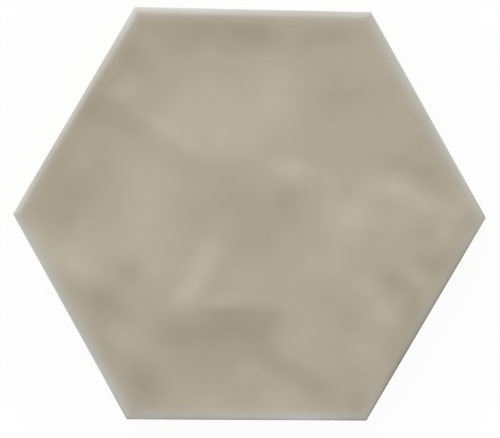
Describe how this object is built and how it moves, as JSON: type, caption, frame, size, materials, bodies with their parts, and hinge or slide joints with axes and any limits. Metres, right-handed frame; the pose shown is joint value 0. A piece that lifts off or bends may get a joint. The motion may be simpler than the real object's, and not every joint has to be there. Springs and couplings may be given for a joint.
{
  "type": "hexagon ceramic tile",
  "caption": "Regular hexagon wall tile with a rippled, soft-edged glazed face and a keyed back of sunk cells.",
  "frame": {"origin": "the middle of the keyed back, at the level the tile rests on", "axes": "+Z out of the glazed face; +X towards one corner of the hexagon; +Y square to one of its sides"},
  "size_m": [0.1242, 0.108, 0.0085],
  "materials": {
    "glaze": "gloss glaze"
  },
  "bodies": {
    "root": {"hexagon_tile": "glaze"}
  },
  "joints": []
}
